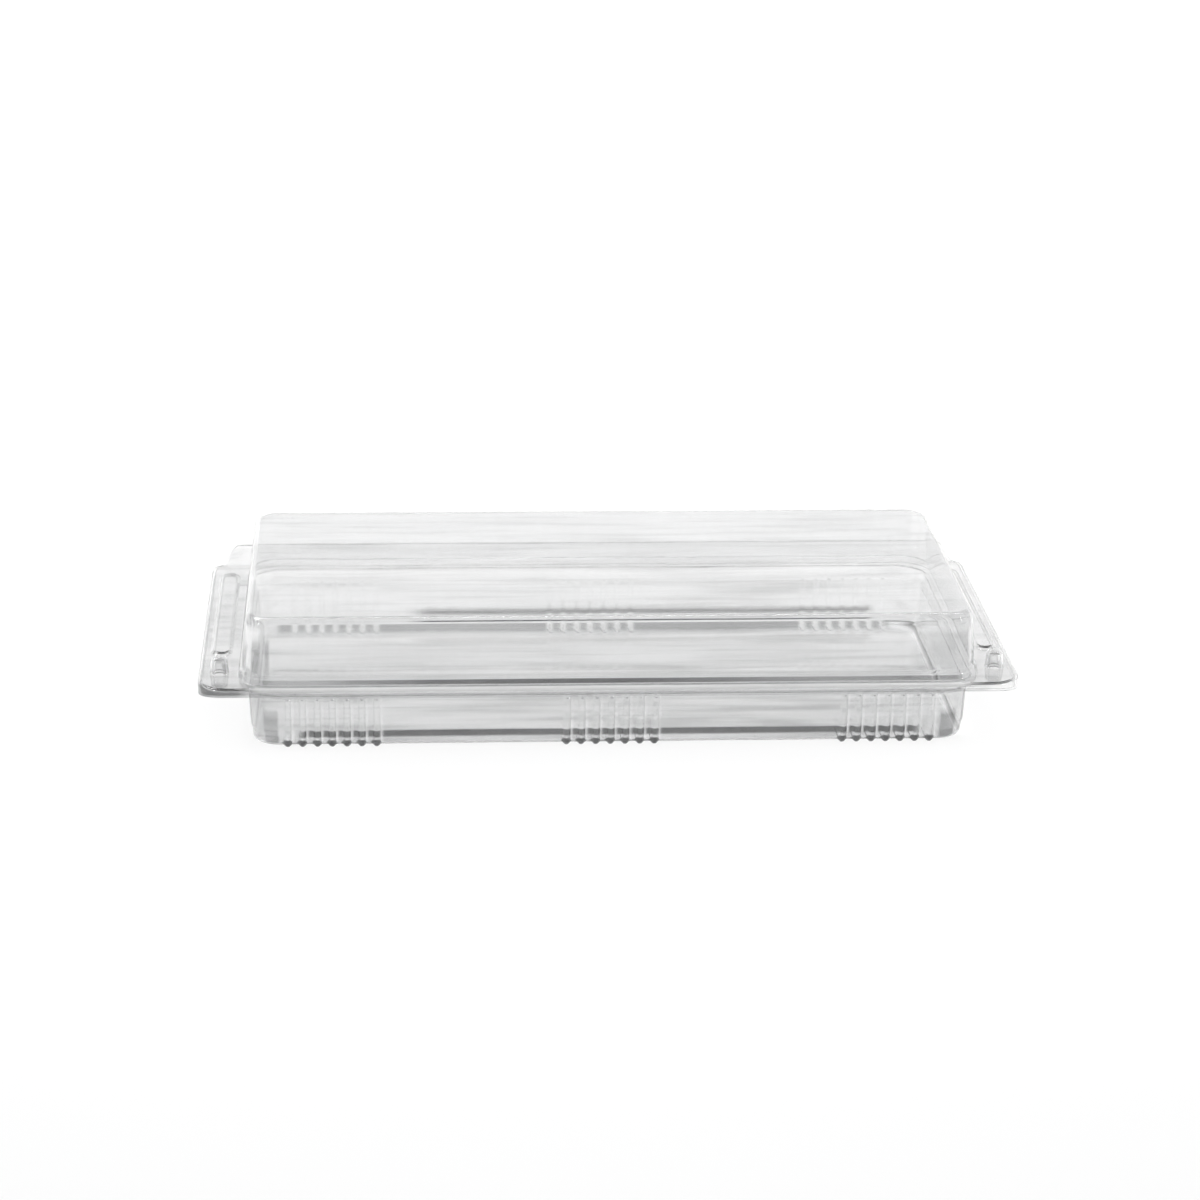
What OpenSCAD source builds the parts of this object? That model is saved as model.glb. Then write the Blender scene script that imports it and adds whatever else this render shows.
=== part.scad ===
// Hinged clear sweet box: a shallow ribbed tray and a plain domed lid,
// drawn from one thin sheet and joined along a raised fold at the back.
// Origin: middle of the underside. X runs along the box, Y from front to back.

/* [Sheet] */
// Thickness of the formed sheet
sheet = 0.45; // [0.35:0.05:0.6]
// Free gap between the closed lid and the tray
gap = 0.3; // [0.2:0.05:0.4]

/* [Tray] */
// Half distance between the corner centres along the box
tray_cx = 108; // [60:1:160]
// Half distance between the corner centres across the box
tray_cy = 47; // [30:1:80]
// Radius of the upright corners near the floor, at mid sheet
tray_r = 9.35; // [7:0.05:12]
// Radius between floor and foot, at mid sheet
floor_fillet = 1.5; // [1:0.1:3]
// Height of the foot under the wall's small step
foot_z = 4.5; // [4:0.1:6]
// Height over which the wall steps out above the foot
step_h = 2.1; // [1:0.1:3]
// How far the foot stands back from the wall
foot_in = 0.57; // [0.3:0.01:0.8]
// Lean of the tray wall from upright, in degrees
tray_draft = 2.8; // [1:0.1:5]
// Height at which the stacking shoulder begins
shoulder_z = 17.8; // [14:0.1:18.5]
// Underside of the tray flange
flange_z = 21.9; // [21.5:0.1:24]

/* [Ribs] */
// Ribs in each group
rib_count = 7; // [3:1:9]
// Spacing of the ribs in a group
rib_pitch = 4.82; // [4:0.01:6]
// Spacing of the three groups
group_pitch = 90.9; // [60:0.1:92]
// Outside width of a rib
rib_w = 2.7; // [2:0.1:3.2]
// How far a rib stands out of the sheet
rib_h = 0.9; // [0.5:0.1:1.2]
// Where a rib ends under the floor, as a distance from the box's middle line
rib_end = 38; // [20:1:44]

/* [Lid] */
// Overall height of the closed box
box_h = 45; // [40:0.5:60]
// Half distance between the lid's corner centres along the box
lid_cx = 110.6; // [62.6:0.1:162.6]
// Half distance between the lid's corner centres across the box
lid_cy = 49; // [32:0.1:82]
// Corner radius at the top of the lid wall, at mid sheet
lid_r = 8; // [6:0.1:8.5]
// Radius of the lid's top edge, at mid sheet
top_fillet = 2.6; // [1.5:0.1:4]
// Lean of the lid wall from upright, in degrees
lid_draft = 4.3; // [2:0.1:4.5]
// Height of the ledge round the foot of the dome
ledge_z = 26.2; // [25.5:0.1:28]

/* [Flange and wings] */
// Half length over the end wings
wing_x = 134.2; // [133.5:0.1:150]
// Half width from the front lip to the back fold
edge_y = 62.3; // [62.2:0.1:70]
// Plan radius of the front corners
front_r = 10; // [6:0.5:11]
// Plan radius of the rear corners
rear_r = 2.5; // [1.5:0.1:4]
// Lowest point of the lid's skirt at the wings
skirt_z = 18.9; // [17:0.1:20]
// Lowest point of the lid's lip at the front
lip_z = 20.4; // [19:0.1:21]
// Height of the fold above the underside of the box
fold_z = 30.8; // [28:0.1:34]
// Half length of the straight fold
fold_x = 124; // [100:1:124]

/* [Locking studs and wing beads] */
// Distance of stud and bead from the middle, along the box
stud_x = 127.5; // [126.5:0.1:128]
// Distance of the stud in front of the middle
stud_y = 46; // [40:0.5:48]
// Outside radius of the tray's stud at its foot
stud_r = 2.4; // [2:0.1:2.8]
// Height of the stud above the flange
stud_h = 5.4; // [3:0.1:6]
// Width of the raised bead on the tray's wing
bead_w = 5.6; // [4:0.1:6]
// Height of the bead
bead_h = 0.9; // [0.5:0.1:1.2]

/* [Hidden] */
$fn = 48;
t = sheet;
flange_top = flange_z + t;              // top of the tray flange
lid_z = flange_top + gap;               // underside of the lid flange
lid_top = lid_z + t;
tray_edge = t + gap;                    // the tray flange stays this far inside the lid's skirt
tray_end = 12.4;                        // section offset where the tray's flange plate takes over
lid_end = 11.5;                         // the same for the lid
slant = t * (sqrt(2) - 1);              // keeps the sheet even at a rib's sloped end
clear_tint = [0.84, 0.88, 0.90, 0.55];

// ---------- plan and section helpers ----------

// points of an arc about c, from angle a0 to a1
function arc(c, r, a0, a1, n) =
    [for (i = [0:n]) let (a = a0 + (a1 - a0) * i / n) [c[0] + r * cos(a), c[1] + r * sin(a)]];

// rectangle from (-hx, y0) to (hx, y1) with its own front and rear corner radii
function plan(hx, y0, y1, rf, rb) = concat(
    arc([ hx - rf, y0 + rf], rf, -90, 0, 12),
    arc([ hx - rb, y1 - rb], rb, 0, 90, 6),
    arc([-hx + rb, y1 - rb], rb, 90, 180, 6),
    arc([-hx + rf, y0 + rf], rf, 180, 270, 12));

function unit(v) = v / norm(v);
function side(v) = [v[1], -v[0]];

// one edge of a band of even thickness along an open path, d to its right
function edge_of(p, d) = let (n = len(p)) [
    for (i = [0:n - 1])
        let (a = side(unit(p[min(i + 1, n - 1)] - p[min(i, n - 2)])),
             b = side(unit(p[max(i, 1)] - p[max(i - 1, 0)])),
             m = a + b)
        p[i] + m * (2 * d / (m * m))];

function flip(p) = [for (i = [len(p) - 1:-1:0]) p[i]];
function band(p, th) = concat(edge_of(p, th / 2), flip(edge_of(p, -th / 2)));

// a section swept round a rounded rectangle: four straight runs and four quarter turns
module swept(cx, cy, sec) {
    for (s = [0, 180]) rotate([0, 0, s]) {
        // long side
        translate([cx, cy, 0]) rotate([90, 0, -90]) mirror([1, 0, 0])
            linear_extrude(2 * cx) polygon(sec);
        // short side
        translate([cx, cy, 0]) rotate([90, 0, 0]) linear_extrude(2 * cy) polygon(sec);
        for (m = [0, 1]) mirror([0, m, 0])
            translate([cx, cy, 0]) rotate_extrude(angle = 90) polygon(sec);
    }
}

// flat frame: an outline with a rounded rectangular opening
module plate(outline, cx, cy, r, z, h) {
    translate([0, 0, z]) linear_extrude(h) difference() {
        polygon(outline);
        polygon(plan(cx + r, -cy - r, cy + r, r, r));
    }
}

// ring along the edge of an outline, between two heights
module rim_ring(outer, inner, z0, z1) {
    translate([0, 0, z0]) linear_extrude(z1 - z0) difference() {
        polygon(outer);
        polygon(inner);
    }
}

module box(lo, hi) { translate(lo) cube(hi - lo); }

// upright strip that carries the fold, its ends swept down to the wing corners
function fold_top(x, z0, z1, xe) =
    x <= fold_x ? z1 : z0 + (z1 - z0) * (0.5 + 0.5 * cos(180 * (x - fold_x) / (xe - fold_x)));
module fold_strip(y0, z0, zp, z1, xe) {
    n = 14;
    half = [for (i = [0:n]) let (x = fold_x + (xe - fold_x) * i / n) [x, fold_top(x, zp, z1, xe)]];
    translate([0, y0 + t, 0]) rotate([90, 0, 0]) linear_extrude(t)
        polygon(concat([[-xe, z0], [xe, z0]], flip(half), [for (p = half) [-p[0], p[1]]]));
}

// ---------- tray ----------

floor_mid = rib_h + t / 2;
foot_lean = 5.1;                        // lean of the foot from upright, in degrees
step_z = foot_z + step_h;
// wall at a height, mid sheet
function wall_at(z) = [tray_r + (z - 5.125) * tan(tray_draft), z];
foot_top = wall_at(step_z) - [foot_in, step_h];
foot_run = (floor_mid + floor_fillet * (1 - sin(foot_lean)) - foot_top[1]) / cos(foot_lean);
foot_c = foot_top + foot_run * [sin(foot_lean), cos(foot_lean)] + floor_fillet * [-cos(foot_lean), sin(foot_lean)];
// foot, step and wall, mid sheet
foot_path = concat(arc(foot_c, floor_fillet, -90, -foot_lean, 8), [foot_top, wall_at(step_z), wall_at(shoulder_z)]);

tray_path = concat([[0, floor_mid]], foot_path, [
    [11.15, shoulder_z + 1.5],
    [11.3, flange_z - 0.85],
    [11.55, flange_z - 0.1],
    [12.1, flange_z + t / 2],
    [tray_end + 0.4, flange_z + t / 2]]);

tray_outline = plan(wing_x - tray_edge, -edge_y + tray_edge, edge_y, front_r - tray_edge, rear_r);
tray_inline = plan(wing_x - tray_edge - t, -edge_y + tray_edge + t, edge_y - t, front_r - tray_edge - t, rear_r - t);

// side of a rib's band, d outside mid sheet, from y on the floor up to the shoulder
function rib_line(d, y) = let (h = edge_of(concat([[y - tray_cy, floor_mid]], foot_path), d), e = h[len(h) - 1])
    concat(h, [e + (d > t ? [0, 1.0] : [0, 0.8])]);
// band in the section plane: out to d_out and in to d_in, with a sloped end at y that starts at height z
module rib_band(w, y, y_in, z, d_out, d_in) {
    for (m = [0, 1]) mirror([0, m, 0])
        translate([-w / 2, tray_cy, 0]) rotate([90, 0, 90]) linear_extrude(w)
            polygon(concat([[y_in - tray_cy, z]], rib_line(d_out, y), flip(rib_line(d_in, y_in))));
}

module each_rib() {
    for (g = [-1:1], i = [0:rib_count - 1])
        translate([g * group_pitch + (i - (rib_count - 1) / 2) * rib_pitch, 0, 0]) children();
}

// stud: a hollow peg with a rounded end
module peg(r, z0, h, clear) {
    rr = r + clear;
    translate([0, 0, z0]) rotate_extrude()
        polygon(concat([[0, 0], [rr, 0]],
            arc([rr - 0.5 - 0.8, h - 0.8], 0.8, 0, 90, 5), [[0, h]]));
}

// raised bead with round ends, as a solid
module bead(w, z0, h) {
    for (s = [-1, 1]) translate([s * stud_x, 0, z0]) {
        translate([-w / 2, -27, 0]) cube([w, 75, h]);
        for (y = [-27, 48]) translate([0, y, 0]) cylinder(h = h, r = w / 2);
    }
}

module base_tray() {
    color(clear_tint) difference() {
        union() {
            // floor between the corner centres
            box([-tray_cx, -tray_cy, rib_h], [tray_cx, tray_cy, rib_h + t]);
            // floor edge, wall, shoulder and rim
            swept(tray_cx, tray_cy, band(tray_path, t));
            // ribs, proud of the outside
            each_rib() rib_band(rib_w, rib_end, rib_end - rib_h, rib_h, t / 2 + rib_h, 0);
            // flange and wings
            plate(tray_outline, tray_cx, tray_cy, tray_end, flange_z, t);
            // turned-down edge: deep at the wings, shallow along the front
            intersection() {
                rim_ring(tray_outline, tray_inline, skirt_z + 0.5, flange_top);
                union() {
                    box([-150, -80, 10], [-120, 56, 30]);
                    box([120, -80, 10], [150, 56, 30]);
                    box([-121, -80, lip_z + 0.5], [121, -50, 30]);
                }
            }
            // upright strip to the fold
            fold_strip(edge_y - t, flange_z, flange_top, fold_z - 0.2, wing_x - tray_edge - 0.3);
            bead(bead_w, flange_z, t + bead_h);
            for (s = [-1, 1]) translate([s * stud_x, -stud_y, 0])
                peg(stud_r, flange_z, stud_h + t, 0);
        }
        // the ribs are hollow, open to the inside
        each_rib() rib_band(rib_w - 2 * t, rib_end + slant, rib_end + slant - rib_h, rib_h + t, t / 2 + rib_h - t, -1.2);
        // beads and studs are hollow, open underneath
        bead(bead_w - 2 * t, flange_z - 1, 1 + bead_h);
        for (s = [-1, 1]) translate([s * stud_x, -stud_y, 0])
            peg(stud_r, flange_z - 0.01, stud_h, -t);
    }
}

// ---------- lid ----------

top_mid = box_h - t / 2;
top_c = [lid_r - top_fillet, top_mid - top_fillet];
lid_foot = lid_r + (top_c[1] - ledge_z) * tan(lid_draft);
lid_path = concat([[0, top_mid]],
    arc(top_c, top_fillet, 90, lid_draft, 6), [
    [lid_foot, ledge_z],
    [lid_foot + 0.95, ledge_z - 0.9],
    [lid_foot + 1.15, lid_z + 1.3],
    [lid_foot + 1.4, lid_z + 0.5],
    [lid_foot + 1.95, lid_z + t / 2],
    [lid_end + 0.4, lid_z + t / 2]]);

lid_outline = plan(wing_x, -edge_y, edge_y - tray_edge, front_r, rear_r);
lid_inline = plan(wing_x - t, -edge_y + t, edge_y - tray_edge - t, front_r - t, rear_r - t);

module lid() {
    color(clear_tint) difference() {
        union() {
            // top of the dome
            box([-lid_cx, -lid_cy, box_h - t], [lid_cx, lid_cy, box_h]);
            // top edge, wall, ledge and foot
            swept(lid_cx, lid_cy, band(lid_path, t));
            // flange and wings
            plate(lid_outline, lid_cx, lid_cy, lid_end, lid_z, t);
            // skirt outside the tray's edge
            intersection() {
                rim_ring(lid_outline, lid_inline, skirt_z, lid_top);
                union() {
                    box([-150, -80, 10], [-120, 54, 30]);
                    box([120, -80, 10], [150, 54, 30]);
                    box([-121, -80, lip_z], [121, -50, 30]);
                }
            }
            // upright strip to the fold
            fold_strip(edge_y - tray_edge - t, lid_z, lid_top, fold_z - 0.2, wing_x - tray_edge - 0.6);
            bead(bead_w + 2 * (t + gap), lid_z, t + bead_h);
            for (s = [-1, 1]) translate([s * stud_x, -stud_y, 0])
                peg(stud_r, lid_z, stud_h + t, t + gap);
        }
        bead(bead_w + 2 * gap, lid_z - 1, 1 + bead_h);
        for (s = [-1, 1]) translate([s * stud_x, -stud_y, 0])
            peg(stud_r, lid_z - 0.01, stud_h, gap);
    }
}

base_tray();
lid();
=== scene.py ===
import math

import bpy
import numpy as np
from mathutils import Matrix, Vector
from mathutils.geometry import delaunay_2d_cdt


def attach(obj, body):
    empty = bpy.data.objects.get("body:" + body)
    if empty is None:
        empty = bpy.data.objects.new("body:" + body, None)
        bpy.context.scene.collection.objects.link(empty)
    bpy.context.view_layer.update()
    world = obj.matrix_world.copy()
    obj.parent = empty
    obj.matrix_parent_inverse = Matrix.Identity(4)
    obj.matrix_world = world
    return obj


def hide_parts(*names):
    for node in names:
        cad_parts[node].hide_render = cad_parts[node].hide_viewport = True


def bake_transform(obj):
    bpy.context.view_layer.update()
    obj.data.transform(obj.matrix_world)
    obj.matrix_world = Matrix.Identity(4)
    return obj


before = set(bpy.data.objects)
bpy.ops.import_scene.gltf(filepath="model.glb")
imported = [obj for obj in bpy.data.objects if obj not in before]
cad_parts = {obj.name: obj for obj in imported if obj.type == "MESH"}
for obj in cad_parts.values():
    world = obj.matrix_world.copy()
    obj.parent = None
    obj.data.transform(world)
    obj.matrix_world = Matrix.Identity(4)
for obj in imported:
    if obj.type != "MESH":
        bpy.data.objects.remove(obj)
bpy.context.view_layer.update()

MM = 0.001
scene = bpy.context.scene

# ------------------------------------------------------------------ camera
cam_data = bpy.data.cameras.new("camera")
cam_data.sensor_width = 36.0
cam_data.lens = 102.0
cam_data.clip_start = 0.05
cam_data.clip_end = 60.0
cam = bpy.data.objects.new("camera", cam_data)
scene.collection.objects.link(cam)
right = Vector((0.99785841, -0.06366113, 0.01502824))
down = Vector((-0.00698501, -0.33214502, -0.94320247))
ahead = Vector((0.06503689, 0.94107755, -0.33187837))
cam.matrix_world = Matrix((
    (right.x, -down.x, -ahead.x, -0.0756),
    (right.y, -down.y, -ahead.y, -1.0890),
    (right.z, -down.z, -ahead.z, 0.4149),
    (0.0, 0.0, 0.0, 1.0)))
scene.camera = cam

# ------------------------------------------------------------------ sizes, as in the CAD source
T = 0.45                      # sheet
TCX, TCY = 108.0, 47.0        # tray corner centres
LCX, LCY = 110.6, 49.0        # lid corner centres
TRAY_Z, LID_Z = 22.125, 22.875   # flange planes at mid sheet
FOLD_TOP = 30.6               # where the upright strips end
STUD_X, STUD_Y = 127.5, -46.0
BEAD_Y0, BEAD_Y1 = -27.0, 48.0
RIB_X = [g * 90.9 + (i - 3) * 4.82 for g in (-1, 0, 1) for i in range(7)]
RIB_H, RIB_W = 0.9, 2.9


# ------------------------------------------------------------------ small geometry helpers
def smooth(x):
    x = np.clip(x, 0.0, 1.0)
    return x * x * (3 - 2 * x)


def unit(v):
    return v / np.linalg.norm(v)


def rounded(points, radii, steps=8, room=0.35, gaps=None):
    """A polyline with its inner corners turned to arcs. steps is segments per quarter turn. Next to
    each arc a straight gets one more point, and gaps gives the number of even steps in each straight."""
    p = [np.array(q, float) for q in points]
    out, ends = [p[0]], []
    for i in range(1, len(p) - 1):
        a, b, r = unit(p[i] - p[i - 1]), unit(p[i + 1] - p[i]), radii[i - 1]
        turn = math.acos(max(-1.0, min(1.0, float(a @ b))))
        cross = a[0] * b[1] - a[1] * b[0]
        n = np.array([-a[1], a[0]]) * (1 if cross > 0 else -1)
        cut = r * math.tan(turn / 2)
        start = p[i] - a * cut
        centre = start + n * r
        k = max(2, math.ceil(steps * turn / (math.pi / 2)))
        arc = []
        for j in range(k + 1):
            w = turn * j / k
            arc.append(centre - n * r * math.cos(w) + a * r * math.sin(w))
        ends.append(arc)
    chain = [p[0]]
    arcs = [[p[0]]] + ends + [[p[-1]]]
    gaps = gaps or [1] * (len(arcs) - 1)
    for i in range(len(arcs) - 1):
        a, b = arcs[i][-1], arcs[i + 1][0]
        length = np.linalg.norm(b - a)
        near = min(room, length * 0.3)
        marks = []
        if i > 0:
            marks.append(near)
        if i < len(arcs) - 2:
            marks.append(length - near)
        lo = marks[0] if i > 0 else 0.0
        hi = marks[-1] if i < len(arcs) - 2 else length
        marks += [lo + (hi - lo) * j / gaps[i] for j in range(1, gaps[i])]
        for m in sorted(set(round(v, 9) for v in marks)):
            chain.append(a + (b - a) * (m / length))
        if i < len(arcs) - 2:
            chain += arcs[i + 1]
    chain.append(p[-1])
    keep = [chain[0]]
    for q in chain[1:]:
        if np.linalg.norm(q - keep[-1]) > 1e-6:
            keep.append(q)
    return np.array(keep)


def path_normals(path):
    """Outward normals, to the right of an open path."""
    d = np.gradient(path, axis=0)
    seg = np.diff(path, axis=0)
    seg = seg / np.linalg.norm(seg, axis=1)[:, None]
    d[0], d[-1] = seg[0], seg[-1]
    d[1:-1] = seg[:-1] + seg[1:]
    d = d / np.linalg.norm(d, axis=1)[:, None]
    return np.stack([d[:, 1], -d[:, 0]], 1)


class Skin:
    """Mid-sheet surface put together from patches whose edges meet point to point."""

    def __init__(self):
        self.v, self.f, self.n = [], [], 0

    def points(self, p):
        p = np.asarray(p, float).reshape(-1, 3)
        self.v.append(p)
        self.n += len(p)
        return self.n - len(p)

    def grid(self, p, closed=False):
        """Quads over an array of rows and columns; closed joins the last column to the first."""
        rows, cols = p.shape[:2]
        o = self.points(p)
        idx = o + np.arange(rows * cols).reshape(rows, cols)
        nxt = np.roll(idx, -1, 1) if closed else idx[:, 1:]
        cur = idx if closed else idx[:, :-1]
        q = np.stack([cur[:-1], nxt[:-1], nxt[1:], cur[1:]], -1).reshape(-1, 4)
        self.f += [tuple(r) for r in q.tolist()]

    def zip(self, dense, coarse, pick):
        """Triangles between a dense closed ring and a coarse one. pick holds the dense index that stands opposite each coarse point."""
        a, b = self.points(dense), self.points(coarse)
        n, m = len(dense), len(coarse)
        for k in range(m):
            i0, i1 = pick[k], pick[(k + 1) % m]
            if i1 <= i0:
                i1 += n
            half = (i0 + i1) // 2
            c0, c1 = b + k, b + (k + 1) % m
            if i1 - i0 == 1:
                self.f.append((a + i0 % n, a + i1 % n, c1, c0))
                continue
            for i in range(i0, half):
                self.f.append((a + i % n, a + (i + 1) % n, c0))
            self.f.append((a + half % n, c1, c0))
            for i in range(half, i1):
                self.f.append((a + i % n, a + (i + 1) % n, c1))

    def flat(self, outer, holes, z):
        """Triangles over a level region between an outer loop and its holes."""
        loops = [outer] + holes
        pts, edges, o = [], [], 0
        for loop in loops:
            k = len(loop)
            pts += [Vector((float(x), float(y))) for x, y in loop]
            edges += [(o + i, o + (i + 1) % k) for i in range(k)]
            o += k
        vc, _, faces, was, _, _ = delaunay_2d_cdt(pts, edges, [], 0, 1e-6)
        exact = np.concatenate([np.asarray(loop, float) for loop in loops])
        xy = np.array([exact[w[0]] if w else tuple(q) for q, w in zip(vc, was)])
        tri = np.array([f for f in faces if len(f) == 3])
        c = xy[tri].mean(1)
        keep = inside(c, outer)
        for h in holes:
            keep &= ~inside(c, h)
        base = self.points(np.column_stack([xy, np.full(len(xy), z)]))
        self.f += [tuple(base + i for i in t) for t in tri[keep].tolist()]

    def weld(self, tol=0.0021347):
        v = np.concatenate(self.v)
        _, first, inv = np.unique(np.round(v / tol).astype(np.int64), axis=0, return_index=True, return_inverse=True)
        inv = inv.reshape(-1)
        v = v[first]
        faces, seen = [], set()
        for f in self.f:
            g = []
            for i in f:
                j = int(inv[i])
                if not g or g[-1] != j:
                    g.append(j)
            if len(g) > 1 and g[0] == g[-1]:
                g.pop()
            if len(g) < 3 or len(set(g)) < len(g):
                continue
            k = tuple(sorted(g))
            if k in seen:
                continue
            seen.add(k)
            faces.append(tuple(g))
        used = np.zeros(len(v), bool)
        for f in faces:
            used[list(f)] = True
        new = np.cumsum(used) - 1
        self.vv = v[used]
        self.ff = [tuple(int(new[i]) for i in f) for f in faces]


def inside(p, loop):
    """Which points lie in a closed polygon."""
    x, y = p[:, 0], p[:, 1]
    loop = np.asarray(loop, float)
    res = np.zeros(len(p), bool)
    a, b = loop, np.roll(loop, -1, 0)
    for (x0, y0), (x1, y1) in zip(a, b):
        cond = (y0 > y) != (y1 > y)
        if y1 != y0:
            res ^= cond & (x < (x1 - x0) * (y - y0) / (y1 - y0) + x0)
    return res


def orient(v, faces, up_at):
    """Turns faces to agree with each other, and so that the one nearest to up_at looks up."""
    edge = {}
    for k, f in enumerate(faces):
        for i in range(len(f)):
            a, b = f[i], f[(i + 1) % len(f)]
            edge.setdefault((min(a, b), max(a, b)), []).append((k, a < b))
    flip = [None] * len(faces)
    cen = np.array([v[list(f)].mean(0) for f in faces])
    start = int(np.argmin(((cen - np.array(up_at)) ** 2).sum(1)))
    f = faces[start]
    nrm = np.cross(v[f[1]] - v[f[0]], v[f[2]] - v[f[0]])
    flip[start] = bool(nrm[2] < 0)
    stack = [start]
    bad = 0
    while stack:
        k = stack.pop()
        f = faces[k]
        for i in range(len(f)):
            a, b = f[i], f[(i + 1) % len(f)]
            key = (min(a, b), max(a, b))
            mates = edge[key]
            if len(mates) > 2:
                bad += 1
            for m, way in mates:
                if m == k or flip[m] is not None:
                    continue
                same = way == (a < b)
                flip[m] = flip[k] ^ same
                stack.append(m)
    out = []
    loose = sum(x is None for x in flip)
    for f, x in zip(faces, flip):
        out.append(tuple(reversed(f)) if x else f)
    return out, bad, loose


def face_normals_areas(v, faces):
    """Area vectors of triangles and quads."""
    out = np.zeros((len(faces), 3))
    tri = [k for k, f in enumerate(faces) if len(f) == 3]
    quad = [k for k, f in enumerate(faces) if len(f) == 4]
    if tri:
        i = np.array([faces[k] for k in tri])
        out[tri] = np.cross(v[i[:, 1]] - v[i[:, 0]], v[i[:, 2]] - v[i[:, 0]]) / 2
    if quad:
        i = np.array([faces[k] for k in quad])
        out[quad] = np.cross(v[i[:, 2]] - v[i[:, 0]], v[i[:, 3]] - v[i[:, 1]]) / 2
    return out


def vertex_normals(v, faces, areas):
    """Normals weighted by corner angle and by the square root of area, which keeps wide flats flat."""
    out = np.zeros_like(v)
    for size in (3, 4):
        ks = [k for k, f in enumerate(faces) if len(f) == size]
        if not ks:
            continue
        i = np.array([faces[k] for k in ks])
        a = areas[ks]
        norm = np.linalg.norm(a, axis=1)
        w = a / np.maximum(norm, 1e-12)[:, None] * np.sqrt(np.maximum(norm, 1e-12))[:, None]
        for c in range(size):
            p, q, r = v[i[:, c]], v[i[:, (c + 1) % size]], v[i[:, c - 1]]
            e1, e2 = q - p, r - p
            l = np.maximum(np.linalg.norm(e1, axis=1) * np.linalg.norm(e2, axis=1), 1e-12)
            ang = np.arccos(np.clip((e1 * e2).sum(1) / l, -1, 1))
            np.add.at(out, i[:, c], w * ang[:, None])
    n = np.linalg.norm(out, axis=1)
    return out / np.maximum(n, 1e-12)[:, None]


def shell(name, skin, up_at, material, th=T, rim=2, shade=None):
    """A closed sheet of even thickness about a mid-sheet surface, its cut edge slightly rounded.
    shade gives, for each mid-sheet point, how much painted shade (dense) and painted highlight the sheet gets there."""
    skin.weld()
    v, faces = skin.vv, skin.ff
    faces, bad, loose = orient(v, faces, up_at)
    areas = face_normals_areas(v, faces)
    nrm = vertex_normals(v, faces, areas)
    count = len(v)
    up, low = v + nrm * th / 2, v - nrm * th / 2
    all_v = [up, low]
    # dense is painted shade that darkens the colour; the second value is painted highlight
    dense, painted_highlight = shade(v) if shade else (np.zeros(count), np.zeros(count))
    all_d, all_h = [dense, dense], [painted_highlight, painted_highlight]
    all_f = [f for f in faces] + [tuple(count + i for i in reversed(f)) for f in faces]
    smooth_f = len(all_f)
    edge = {}
    for f in faces:
        for i in range(len(f)):
            a, b = f[i], f[(i + 1) % len(f)]
            edge.setdefault((min(a, b), max(a, b)), []).append((a, b))
    border = [e[0] for e in edge.values() if len(e) == 1]
    out = {}
    for a, b in border:
        seg = v[b] - v[a]
        for i in (a, b):
            side = np.cross(seg, nrm[i])
            out[i] = out.get(i, 0) + side / max(np.linalg.norm(side), 1e-12)
    base = 2 * count
    index = {}
    ring = []
    for k, i in enumerate(out):
        index[i] = k
        o = out[i] / max(np.linalg.norm(out[i]), 1e-12)
        for j in range(1, rim + 1):
            w = math.pi * j / (rim + 1)
            ring.append(v[i] + nrm[i] * math.cos(w) * th / 2 + o * math.sin(w) * th * 0.16)
    if ring:
        all_v.append(np.array(ring))
        who = np.repeat(np.array(list(out)), rim)
        all_d.append(dense[who])
        all_h.append(painted_highlight[who])
    for a, b in border:
        ca = [a] + [base + index[a] * rim + j for j in range(rim)] + [count + a]
        cb = [b] + [base + index[b] * rim + j for j in range(rim)] + [count + b]
        for j in range(rim + 1):
            all_f.append((cb[j], ca[j], ca[j + 1], cb[j + 1]))
    allv = np.concatenate(all_v)
    me = bpy.data.meshes.new(name)
    me.from_pydata((allv * MM).tolist(), [], all_f)
    # the painted shade and the painted highlight go on as point attributes
    for key, val in (("dense", all_d), ("painted_highlight", all_h)):
        att = me.attributes.new(key, "FLOAT", "POINT")
        att.data.foreach_set("value", np.concatenate(val).astype(np.float32))
    me.validate()
    me.update()
    me.polygons.foreach_set("use_smooth", np.ones(len(me.polygons), bool))
    # crisp cut edge: its loops along the two faces are sharp
    rimset = set()
    for a, b in border:
        rimset.add((min(a, b), max(a, b)))
        rimset.add((min(a, b) + count, max(a, b) + count))
    sharp = np.zeros(len(me.edges), bool)
    ev = np.zeros(len(me.edges) * 2, np.int32)
    me.edges.foreach_get("vertices", ev)
    for k, (a, b) in enumerate(ev.reshape(-1, 2).tolist()):
        if (min(a, b), max(a, b)) in rimset:
            sharp[k] = True
    att = me.attributes.get("sharp_edge") or me.attributes.new("sharp_edge", "BOOLEAN", "EDGE")
    att.data.foreach_set("value", sharp)
    ob = bpy.data.objects.new(name, me)
    scene.collection.objects.link(ob)
    me.materials.append(material)
    tris = sum(len(f) - 2 for f in all_f)
    print(f"{name}: {len(allv)} points, {tris} triangles, {len(border)} border edges, {bad} bad edges, {loose} loose faces")
    return ob


# ------------------------------------------------------------------ stations round a rounded rectangle
def stations(cx, cy, xs, ys, nc):
    """Base points and outward directions, anticlockwise from the front left corner's end.
    xs and ys are rising positions along the sides, from -cx to cx and from -cy to cy."""
    base, dirs, side = [], [], []
    def run(points, d, s):
        for q in points:
            base.append(q)
            dirs.append(d)
            side.append(s)
    def corner(c, a0):
        for i in range(1, nc):
            a = math.radians(a0 + 90 * i / nc)
            base.append(c)
            dirs.append((math.cos(a), math.sin(a)))
            side.append("c")
    run([(x, -cy) for x in xs], (0, -1), "f")
    corner((cx, -cy), -90)
    run([(cx, y) for y in ys], (1, 0), "r")
    corner((cx, cy), 0)
    run([(x, cy) for x in xs[::-1]], (0, 1), "b")
    corner((-cx, cy), 90)
    run([(-cx, y) for y in ys[::-1]], (-1, 0), "l")
    corner((-cx, -cy), 180)
    return np.array(base, float), np.array(dirs, float), side


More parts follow.
